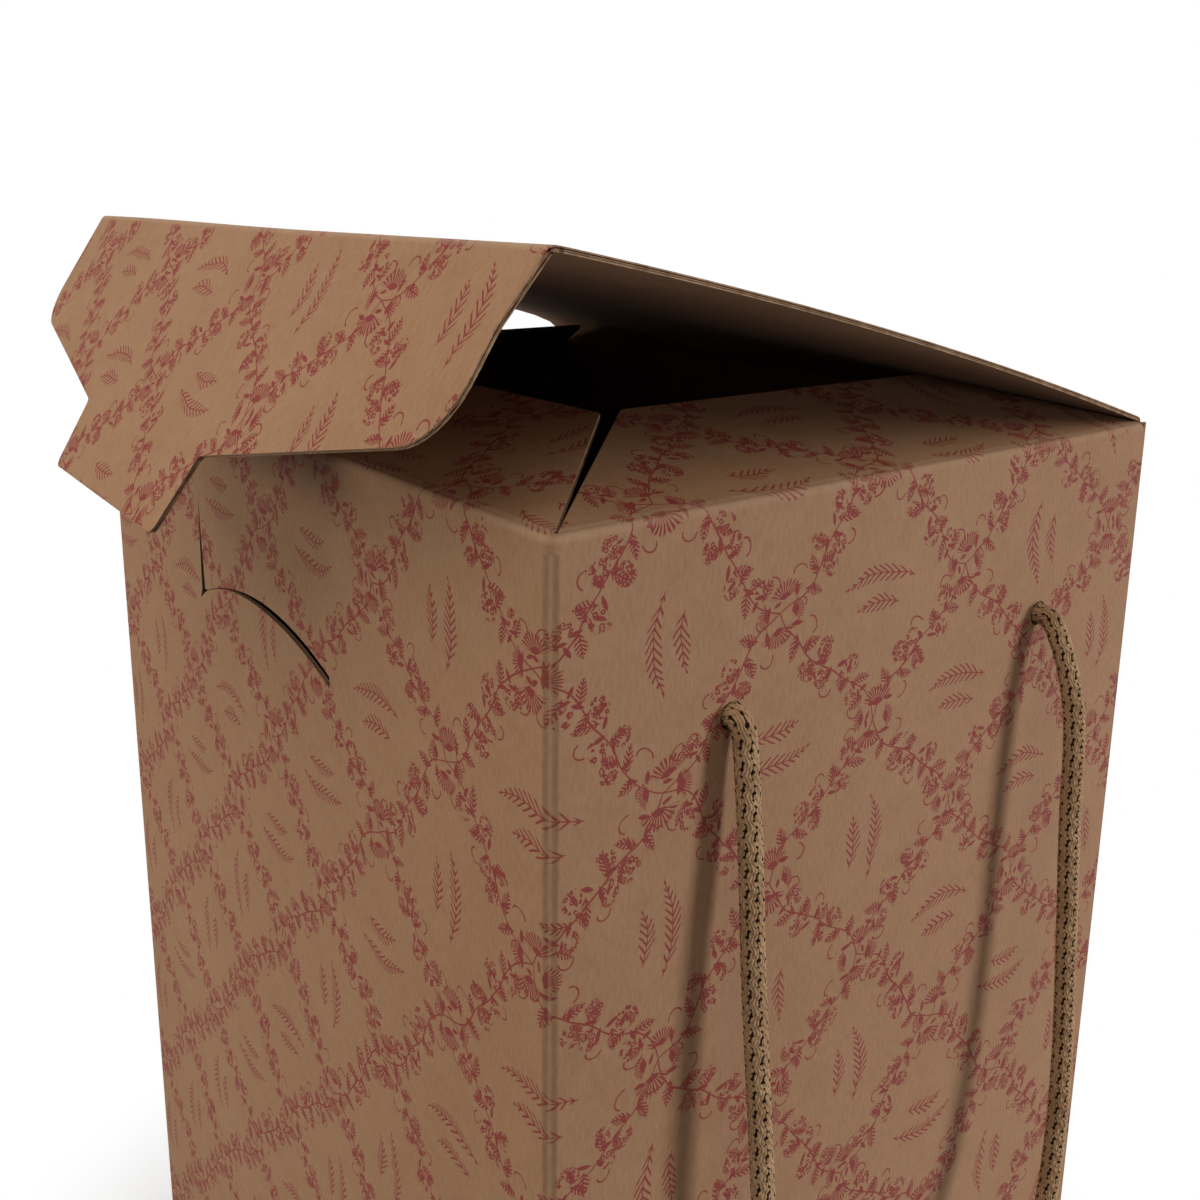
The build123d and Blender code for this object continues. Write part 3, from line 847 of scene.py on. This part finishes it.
def dustFlap(side, uMiddle, half, wallOut, along, out, lowEnd, highEnd):
    # A flap from its wall over the crease; a mitred end is (height at the crease, inset at the tip)
    lean, reach, runOn = radians(flapSize["angle"]), flapSize["depth"], flapSize["runOn"]
    path = bentPath(
        [(wallOut, creaseHeight - flapSize["wallBelow"]), (wallOut, creaseHeight),
         (wallOut - cos(lean) * reach * runOn, creaseHeight + sin(lean) * reach * runOn)],
        [boardSize["creaseRadius"]],
    )
    corners = [(-half, lowEnd[0]), (lowEnd[1] - half, reach), (half - highEnd[1], reach), (half, highEnd[0])]
    line = bentPath(corners, [flapSize["cornerRadius"]] * 2)["points"]
    u, high = columnsUnder(line, -half, half, flapSize["columns"])
    place = creasePlace(path, flapSize["wallBelow"], uMiddle, along, out)
    flap = boardPiece(side + "DustFlap", (u + uMiddle, -seam, high),
                      creaseRows(bendRows(path), flapSize["rows"]), place)
    inward = -np.array(out, float) * cos(lean) + np.array((0, 0, sin(lean)))
    blendAcross(flap, (0, 0, -1), inward)
    dress(flap, "kraft_board", side + "_dust_flap")
    return path


def cornerWeb(name, path, side):
    # The paper that stays whole over a front corner: the flap's own crease, turned round the corner's axis
    axisX, axisY = wallX - boardSize["cornerRadius"], -wallY + boardSize["cornerRadius"]
    rows = bendRows(path)
    out = np.interp(rows[-1] + flapSize["wallBelow"], path["length"], path["points"][:, 0])
    end = rows[-1] + (out - axisX) / cos(radians(flapSize["angle"])) * flapSize["webShare"]
    steps = flapSize["webSteps"]
    v = np.broadcast_to(np.append(rows, end)[:, None], (len(rows) + 1, steps))

    def place(u, v, n):
        point = alongPath(path, v + flapSize["wallBelow"], n)
        angle = pi / 4 - u / foldOuter
        radius = np.maximum(point[..., 0] - axisX, 0)
        return np.stack([side * (axisX + radius * np.cos(angle)), axisY - radius * np.sin(angle),
                         point[..., 1]], -1)
    u = (pi / 4 - np.linspace(0, pi / 2, steps))[::-1] * foldOuter
    web = meshObject(name, [slab(u, v, -halfBoard, halfBoard, place, (1, 0, 2))], boardMaterials)
    if side < 0:
        web.data.flip_normals()
    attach(dress(web, "kraft_board"), "carton")


def mitre(degrees, gap):
    # Height of a mitred end at the crease and its inset at the tip
    slope = tan(radians(degrees))
    return (foldOuter - gap) * slope, flapSize["depth"] / slope + gap - foldOuter


frontHalf, sideHalf = halfWidth - foldOuter, halfDepth - foldOuter
frontEnd, sideFrontEnd, rightBackEnd, leftBackEnd = (
    mitre(*flapSize[k]) for k in ("frontMitre", "sideFrontMitre", "rightBackMitre", "leftBackMitre"))
dustFlap("front", frontLeft / 2, frontHalf, wallY, (1, 0, 0), (0, -1, 0), frontEnd, frontEnd)
sidePath = dustFlap("right", backRight / 2, sideHalf, wallX, (0, 1, 0), (1, 0, 0),
                    sideFrontEnd, rightBackEnd)
dustFlap("left", frontLeft - backRight / 2, sideHalf, wallX, (0, -1, 0), (-1, 0, 0),
         leftBackEnd, sideFrontEnd)
cornerWeb("rightCornerWeb", sidePath, 1)
cornerWeb("leftCornerWeb", sidePath, -1)
print("dust flaps made")


# Lid and tuck flap

lidSize = {
    "halfWidth": halfWidth - 0.8 * mm,
    "rightInset": 1.6 * mm,     # the right side is cut back by this
    "bow": 3.0 * mm,
    "bowSteps": 12,
    "bowRounding": 0.95,        # radius at each of its steps, as a share of its own
    "lift": 2.2 * mm,           # the left end of the fold above the right
    "bulge": 6.6 * mm,          # where the left dust flap holds it up
    "bulgeSpan": (0.035, 0.5),  # shares of the way to the fold, to rise over and to die away in
    "bulgeSide": (0.3, 1.1),    # half widths right of the middle where it starts, and its breadth
    "columns": 30,
    "rows": 24,
    "tuckHalfWidth": halfWidth - 1.4 * mm,
    "tuckAngle": 57.4,
    "tuckReach": 90 * mm,       # its profile runs on past its edge
    "tuckShoulder": (3.4 * mm, 15 * mm, 12 * mm),   # the right side draws in by, over, with this radius
    "cornerDrop": 36 * mm,
    "cornerRadius": 14 * mm,
    "drop": 53.7 * mm,
    "tongueMiddle": -3.5 * mm,
    "tongueRoot": 82 * mm,
    "tongueTip": 76 * mm,
    "tongueLength": 18.7 * mm,
    "tongueRootRadius": 2 * mm,
    "tongueTipRadius": 2.5 * mm,
    "tuckColumns": 50,
    "tuckRows": 14,
}
hinge, fold = jointAt["lid_hinge"], jointAt["tuck_crease"]
chord = np.hypot(hinge[1] - fold[1], fold[2] - hinge[2])
chordAngle = np.arctan2(fold[2] - hinge[2], hinge[1] - fold[1])
bowRadius = (chord**2 / 4 + lidSize["bow"] ** 2) / (2 * lidSize["bow"])
bowHalf = np.arcsin(chord / 2 / bowRadius)
spread = np.linspace(-bowHalf, bowHalf, lidSize["bowSteps"] + 1)
# The bow in its own chord, then turned up about the hinge; the profile's out axis is +Y
bowAlong = chord / 2 + bowRadius * np.sin(spread)
bowUp = bowRadius * (np.cos(spread) - cos(bowHalf))
lidPoints = np.stack([
    hinge[1] - bowAlong * cos(chordAngle) - bowUp * sin(chordAngle),
    hinge[2] + bowAlong * sin(chordAngle) + bowUp * cos(chordAngle),
], -1)
lidPath = bentPath(
    [(wallY, hinge[2] - flapSize["wallBelow"]), *lidPoints],
    [boardSize["creaseRadius"]] + [bowRadius * lidSize["bowRounding"]] * (lidSize["bowSteps"] - 1),
)
hingeRise = hinge[2] - creaseHeight
backMiddle = backRight + wallX
tuckStart = hingeRise + lidPath["length"][-1] - flapSize["wallBelow"]       # V at the fold of the tuck flap


def lidPlace(path, zero):
    # The profile along the hinge with its left side lifted: in step with the way from the hinge, and in a
    # bulge that rises at once and dies away, over a smooth step from right to left
    size = lidSize
    place = creasePlace(path, zero, backMiddle, (-1, 0, 0), (0, 1, 0))
    rising, dying = size["bulgeSpan"]
    begins, breadth = size["bulgeSide"]

    def lifted(u, v, n):
        points = place(u, v, n)
        across = (u - backMiddle) / size["halfWidth"]
        share = np.clip((v - hingeRise) / (tuckStart - hingeRise), 0, 1)
        left = np.clip((across + begins) / breadth, 0, 1)
        left = left * left * (3 - 2 * left)
        bulge = (1 - np.exp(-share / rising)) * np.exp(-share / dying)
        points[..., 2] += size["lift"] * share * (across + 1) / 2 + size["bulge"] * bulge * left
        return points
    return lifted


def tuckLine(size):
    # The flap's lower edge: square at the fold, round corners, then the tongue; U runs towards -X
    middle = -size["tongueMiddle"]
    half, root, tip = size["tuckHalfWidth"], size["tongueRoot"] / 2, size["tongueTip"] / 2
    bottom = size["drop"] + size["tongueLength"]
    drawnIn, over, shoulderRadius = size["tuckShoulder"]
    right = size["rightInset"] - half
    corners = [
        (right, 0.1 * mm), (right + drawnIn, over), (right + drawnIn + 0.1 * mm, size["cornerDrop"]),
        (middle - root, size["drop"]), (middle - tip, bottom), (middle + tip, bottom),
        (middle + root, size["drop"]), (half, size["cornerDrop"]), (half, 0),
    ]
    radii = [size["cornerRadius"], size["tongueRootRadius"], size["tongueTipRadius"]]
    line = bentPath(corners, [shoulderRadius] + radii + radii[::-1])["points"]
    return columnsUnder(line[:-1], right, half, size["tuckColumns"])


u = np.linspace(lidSize["rightInset"] - lidSize["halfWidth"], lidSize["halfWidth"], lidSize["columns"])
lid = boardPiece("lid", (u + backMiddle, backTop, tuckStart - seam),
                 creaseRows(bendRows(lidPath) + hingeRise, lidSize["rows"]),
                 lidPlace(lidPath, flapSize["wallBelow"] - hingeRise))
blendAcross(lid, (0, 0, -1), (0, -cos(chordAngle), sin(chordAngle)))
dress(lid, "kraft_board", "lid_panel")

tuckLean, arrive = radians(lidSize["tuckAngle"]), chordAngle - bowHalf
below, reach = flapSize["wallBelow"], lidSize["tuckReach"]
tuckPath = bentPath(
    [(fold[1] + cos(arrive) * below, fold[2] - sin(arrive) * below), (fold[1], fold[2]),
     (fold[1] - cos(tuckLean) * reach, fold[2] - sin(tuckLean) * reach)],
    [boardSize["creaseRadius"]],
)
u, high = tuckLine(lidSize)
tuck = boardPiece("tuckFlap", (u + backMiddle, tuckStart - seam, high + tuckStart),
                  creaseRows(bendRows(tuckPath) + tuckStart, lidSize["tuckRows"]),
                  lidPlace(tuckPath, below - tuckStart))
blendAcross(tuck, (0, cos(arrive), -sin(arrive)),
            (0, -cos(tuckLean), -sin(tuckLean)))
dress(tuck, "kraft_board", "tuck_flap")
print("lid and tuck flap made")

for side in ("front", "back", "left", "right"):
    materials = frame["nodes"]["bottom_" + side + "_flap"].data.materials
    materials.clear()
    materials.append(bottomKraft)

# Cords: tubes knitted from paper thread, the wales zigzagging with small holes between them

cordSize = {
    "diameter": 5.0 * mm,
    "length": 439 * mm,
    "hole": (0.0, -51 * mm, 308 * mm),
    "bend": (4.0 * mm, -6.0 * mm),      # a point this far out and down from the hole
    "coreRadius": 1.75 * mm,
    "coreSides": 12,
    "threadRing": 2.2 * mm,     # from the middle of the cord to the middle of a thread
    "threadHalf": (0.25 * mm, 0.31 * mm),       # outwards, and round the cord
    "wales": 7,
    "threads": (-1, 0, 1),      # the places of the threads of a wale
    "sides": 5,
    "step": 0.6 * mm,
    "period": 4.2 * mm,
    "zigzag": 0.17,             # radians
    "spacing": 0.30,
    "pinch": 0.05,              # taken from the spacing beside a hole
    "holes": ((0.13, 0.08), (0.45, 0.08), (0.77, 0.11)),    # place in the period and half its length
    "stitch": 1.35,             # millimetres from one small hole to the next
    "stitchHole": 0.2,          # half a hole's length, as a share of that
    "lift": 0.13 * mm,
    "endThickness": 0.96,
    "sharpDegrees": 60,
    # the loop: off the wall, towards the back and down from the holes, in millimetres
    "entry": ((-0.6, -51.0, 0.0), (1.6, -51.0, 0.3), (3.6, -51.05, -1.6)),
    "loop": (
        (5.0, -51.2, -11), (6.4, -50.8, -27), (8.9, -51.4, -52), (12.4, -50.5, -90),
        (15.2, -49.0, -132), (18.2, -40.5, -164), (20.8, -21.0, -186), (21.8, 5.0, -192),
        (21.4, 30.0, -181), (20.0, 46.0, -157), (18.0, 51.6, -122), (15.4, 51.9, -84),
        (13.2, 50.8, -48), (12.2, 51.3, -24), (8.4, 51.0, -9),
    ),
    "back": ((3.8, 51.0, -0.4), (1.6, 51.0, 0.2), (-0.6, 51.0, 0.0)),
    # the knot: an open trefoil of this radius, swing and half height, on the cord's own line
    "knotRadius": 3.0,
    "knotSwing": 1.25,
    "knotHalf": 2.5,
    "knotMiddle": -6.2,
    "tail": ((-13.0, 1.4, -1.4), (-17.2, 1.2, -3.0), (-19.6, 0.8, -9.0), (-20.2, 0.4, -17.0),
             (-20.2, 0.0, -25.4)),
}


def splinePoints(points, step):
    # A smooth line with the given control points, read from a bare NURBS curve, in even steps
    curve = bpy.data.curves.new("route", "CURVE")
    curve.dimensions = "3D"
    curve.resolution_u = 24
    spline = curve.splines.new("NURBS")
    spline.points.add(len(points) - 1)
    spline.points.foreach_set("co", np.column_stack([points, np.ones(len(points))]).ravel())
    spline.order_u = 3
    spline.use_endpoint_u = True
    holder = bpy.data.objects.new("route", curve)
    mesh = bpy.data.meshes.new_from_object(holder)
    line = np.empty(len(mesh.vertices) * 3)
    mesh.vertices.foreach_get("co", line)
    line = line.reshape(-1, 3)
    bpy.data.objects.remove(holder)
    bpy.data.curves.remove(curve)
    bpy.data.meshes.remove(mesh)
    length = np.concatenate([[0], np.cumsum(np.linalg.norm(np.diff(line, axis=0), axis=1))])
    even = np.linspace(0, length[-1], int(length[-1] / step) + 1)
    return even, np.stack([np.interp(even, length, line[:, i]) for i in range(3)], -1)


def steadyFrame(line):
    # Tangents, and two normals turned from the direction that the line runs along least, one of 400 spread
    # evenly over the globe on a golden spiral
    tangent = np.gradient(line, axis=0)
    tangent /= np.linalg.norm(tangent, axis=1)[:, None]
    count = 400
    share = (np.arange(count) + 0.5) / count
    around, height = share * count * pi * (3 - 5**0.5), 1 - 2 * share
    flat = np.sqrt(1 - height**2)
    tries = np.stack([flat * np.cos(around), flat * np.sin(around), height], -1)
    fixed = tries[np.abs(tangent @ tries.T).max(axis=0).argmin()]
    first = fixed - (tangent @ fixed)[:, None] * tangent
    first /= np.linalg.norm(first, axis=1)[:, None]
    return tangent, first, np.cross(tangent, first)


def tubes(centres, outwards, sideways, halfOut, halfSide, sides, along):
    # Sections of a few corners round each row of centres, drawn to a point at both ends
    count, steps = centres.shape[:2]
    turn = 2 * pi * np.arange(sides) / sides
    size = np.ones(steps)
    size[[0, -1]] = 0.02
    corner = (np.cos(turn)[:, None] * outwards[:, :, None] * halfOut
              + np.sin(turn)[:, None] * sideways[:, :, None] * halfSide)
    vertices = centres[:, :, None] + corner * size[:, None, None]
    index = np.arange(count * steps * sides).reshape(count, steps, sides)
    after = np.roll(index, -1, axis=2)
    faces = np.stack([index[:, :-1], after[:, :-1], after[:, 1:], index[:, 1:]], -1).reshape(-1, 4)
    # U counts the tubes in millimetres, plus a quarter of how far sideways the corner is; V runs along
    uv = np.stack(np.broadcast_arrays(
        (np.arange(count)[:, None, None] + np.sin(turn) / 4) * mm, along[None, :, None]), -1)
    return vertices.reshape(-1, 3), faces, uv.reshape(-1, 2)


def knitCord(name, size, lines, thickness=1.0):
    # Each thread winds about the cord's line at an angle of its wale's place, a zigzag, and its own
    # place in the wale, which closes up beside the holes; a core painted near black, as painted shade of the
    # cord's inside, shows through them
    wale = np.repeat(np.arange(size["wales"]), len(size["threads"]))[:, None]
    place = np.tile(size["threads"], size["wales"])[:, None]
    halfOut, halfSide = (h * thickness for h in size["threadHalf"])
    core = size["coreRadius"] * thickness
    parts = []
    for along, line in lines:
        tangent, first, second = steadyFrame(line)
        phase = along / size["period"] + wale / size["wales"]
        zigzag = np.abs((phase % 1) * 2 - 1) * 2 - 1
        opened = sum(np.exp(-((((phase % 1) - at + 0.5) % 1 - 0.5) / half) ** 2)
                     for at, half in size["holes"])
        angle = (2 * pi * wale / size["wales"] + size["zigzag"] * zigzag
                 + place * (size["spacing"] - size["pinch"] * opened))
        ring = (size["threadRing"] + size["lift"] * np.cos(2 * pi * (phase * 2 + place / 3))) * thickness
        outwards = np.cos(angle)[..., None] * first + np.sin(angle)[..., None] * second
        sideways = np.cross(np.broadcast_to(tangent, outwards.shape), outwards)
        threads = line + ring[..., None] * outwards
        for index, tube in enumerate((
            tubes(threads, outwards, sideways, halfOut, halfSide, size["sides"], along),
            tubes(line[None], first[None], second[None], core, core, size["coreSides"], along),
        )):
            parts.append((*tube, np.full(len(tube[1]), index)))
    return meshObject(name, parts, [cordThread, cordCore], size["sharpDegrees"])


def cordRoute(points, size, side, y=0.0):
    # From (off the wall, towards the back, up from the holes) to the frame; the left side is turned round
    out, across, up = np.array(points, float).T * mm
    return splinePoints(np.stack([side * (halfWidth + out), side * (across + y), size["hole"][2] + up], -1),
                        size["step"])


def knotPoints(size):
    # Eleven points of a trefoil wound on the cord's own line, open where the cord comes in and goes out
    turn = 4 * pi * np.arange(1, 12) / 12
    radius = size["knotRadius"] + size["knotSwing"] * np.cos(1.5 * turn)
    knot = np.stack([size["knotMiddle"] + size["knotHalf"] * np.sin(1.5 * turn),
                     radius * np.cos(turn), radius * np.sin(turn)], -1)
    return [(0.5, 0, 0), (-1.2, 0, 0), *knot, *size["tail"]]


def paintedHoleShade(w, place, size):
    # Painted shade of small holes between the wales, on the facing sides of two threads: where the pulse
    # along the gap is high and the corner of the tube looks into the gap; each gap's pulse is shifted by 3/7
    threads, hole = len(size["threads"]), size["stitchHole"]
    u, v, _ = w.split(w.vector("MULTIPLY", place, (1000.0, 1000.0, 1.0)))
    number = w.math("ROUND", u)
    gap = w.math("FLOOR", (number + 1.01) / threads)
    inWale = number - gap * threads         # -1 before a gap, 0 after it
    towards = (u - number) * 4.0 * ((inWale < -0.5) - (abs(inWale) < 0.5))
    pulse = w.math("PINGPONG", v / size["stitch"] + gap * (3.0 / size["wales"]), 0.5)
    return w.range(pulse, hole + 0.05, hole - 0.05) * w.range(towards, 0.05, 0.3)


cordLook = {
    # light tone, dark tone, scale of the streaks per metre and roughness
    "thread": (srgb(206, 172, 132), srgb(156, 120, 86), 9000.0, 0.85),
    # the core's tones are painted shade: the inside of the cord, seen through the holes, near black
    "core": (srgb(52, 30, 16), srgb(34, 18, 9), 3000.0, 0.95),
    # painted shade of the small holes between the wales
    "hole": srgb(44, 25, 13),
    "streakStretch": 0.12,
    "streakRange": (0.3, 0.7, 0.0, 0.7),
    "cloud": 160.0,
    "cloudRange": (0.35, 0.65, -0.1, 0.3),
    "bump": (0.5, 0.08 * mm),
    "specular": 0.2,
}


def cordFibreGroup(look):
    # Twisted paper: a noise stretched along the thread and slow changes of tone, added up
    w, given, made = newGroup(
        "cordFibre",
        {"Along": "Vector", "Place": "Vector", "Streaks": "Float", "Light": "Color", "Dark": "Color"},
        {"Color": "Color", "Height": "Float"},
    )
    stretched = w.vector("MULTIPLY", given["Along"], (1.0, look["streakStretch"], 1.0))
    streaks = w.noise(stretched, given["Streaks"], 3.0, 0.6)
    cloud = w.noise(given["Place"], look["cloud"], 2.0)
    shade = w.math("ADD", w.range(streaks, *look["streakRange"]), w.range(cloud, *look["cloudRange"]),
                   clamp=True)
    w.put(w.mix(shade, given["Dark"], given["Light"]), made["Color"])
    w.put(streaks, made["Height"])
    return w.tree


cordGroup = cordFibreGroup(cordLook)


def cordMaterial(name, kind, holes=False):
    # Paper thread, with painted shade of the small holes between the wales over it where they show
    look = cordLook
    light, dark, streaks, roughness = look[kind]
    material, w, shader = newMaterial(name)
    place = w.node("ShaderNodeTexCoord").outputs
    fibre = w.group(cordGroup, Along=place["UV"], Place=place["Object"], Streaks=streaks, Light=light,
                    Dark=dark)
    color = fibre["Color"]
    if holes:
        color = w.mix(paintedHoleShade(w, place["UV"], cordSize), color, look["hole"])
    finishPaper(w, shader, color, fibre["Height"], look["bump"], roughness, look["specular"])
    return material


cordThread = cordMaterial("cordThread", "thread", holes=True)
cordCore = cordMaterial("cordCore", "core")
for side, name in ((1, "right"), (-1, "left")):
    size = cordSize
    route = cordRoute([*size["entry"], *size["loop"], *size["back"]], size, side)
    holeY, holeZ = size["hole"][1:]
    ends = [cordRoute(knotPoints(size), size, side, y * side) for y in (holeY, -holeY)]
    endsPiece = knitCord(name + "CordEnds", size, ends, size["endThickness"])
    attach(dress(endsPiece, "kraft_cord", name + "_cord_ends"), "carton")
    handle = knitCord(name + "Handle", size, [route])
    dress(handle, "kraft_cord", name + "_handle_cord")
    hole = np.array((side * halfWidth, side * holeY, holeZ))
    bend = (side * size["bend"][0], 0, size["bend"][1])
    name + "_handle"
    tuple(hole + bend)
    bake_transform(handle)
print("cords made")

# Floor and light

studio = {
    "floor": 4.0,                   # half its side
    "floorDepth": -0.5 * mm,
    "floorTones": (0.2, 0.85),      # as a bounce of light, and as seen
    "floorRoughness": 0.7,
    "world": 0.008,                 # strength of its light on the carton
    "shadowReach": (0.12, 0.24),    # where the floor's shadows fade into plain white
    "aim": (0.02, -0.02, 0.27),
    # lamps: name, place, size, power, colour
    "lamps": (
        ("sideLamp", (1.125, 0.75, 0.16), 0.36, 10.6, (0.97, 0.97, 1.0)),
        ("skyLamp", (0.65, -0.40, 1.30), 1.0, 4.6, (1.0, 0.95, 0.88)),
        ("frontLamp", (-0.45, -1.25, 0.14), 0.6, 6.6, (1.0, 0.96, 0.88)),
        ("topLamp", (-0.20, -0.80, 1.30), 1.4, 9.2, (1.0, 0.98, 0.96)),
        ("backLamp", (-0.75, 1.00, 1.15), 0.7, 11.0, (1.0, 0.99, 0.97)),
    ),
}


def seenWhite(w):
    # 1 for a ray that shows the background itself: to the camera, in a gloss or through glass
    rays = w.node("ShaderNodeLightPath").outputs
    return reduce(w.most, (rays[kind] for kind in ("Is Camera Ray", "Is Glossy Ray", "Is Transmission Ray")))


def makeStudio(setting):
    # A pale floor that turns to plain white away from the carton, an even world and five soft lamps
    corners = np.array(((-1, -1, 0), (1, -1, 0), (1, 1, 0), (-1, 1, 0)), float) * setting["floor"]
    corners[:, 2] = setting["floorDepth"]
    mesh = bpy.data.meshes.new("floor")
    mesh.from_pydata(corners.tolist(), [], [(0, 1, 2, 3)])
    floor = addObject("floor", mesh)
    material, w, shader = newMaterial("paleFloor")
    seen = seenWhite(w)
    w.put(w.choose(seen, *setting["floorTones"]), shader.inputs["Base Color"])
    w.put(setting["floorRoughness"], shader.inputs["Roughness"])
    away = w.vector("LENGTH", w.node("ShaderNodeTexCoord").outputs["Object"])
    fade = w.range(away, *setting["shadowReach"], smooth=True)
    glow = w.node("ShaderNodeEmission")
    blend = w.node("ShaderNodeMixShader", (fade * seen, shader.outputs[0], glow.outputs[0]))
    w.put(blend.outputs[0], w.tree.nodes["Material Output"].inputs["Surface"])
    mesh.materials.append(material)
    world = bpy.data.worlds.new("studio")
    bpy.context.scene.world = world
    world.use_nodes = True
    w = Wiring(world.node_tree)
    background = world.node_tree.nodes["Background"].inputs
    w.put((1, 1, 1, 1), background["Color"])
    w.put(w.choose(seenWhite(w), setting["world"], 1.0), background["Strength"])
    for name, place, size, power, color in setting["lamps"]:
        lamp = bpy.data.lights.new(name, "AREA")
        lamp.shape, lamp.size, lamp.energy, lamp.color = "DISK", size, power, color
        aim = (Vector(place) - Vector(setting["aim"])).to_track_quat("Z", "Y")
        addObject(name, lamp).matrix_world = Matrix.Translation(place) @ aim.to_matrix().to_4x4()


makeStudio(studio)
bpy.context.scene.view_settings.view_transform = "Standard"

print("studio made")
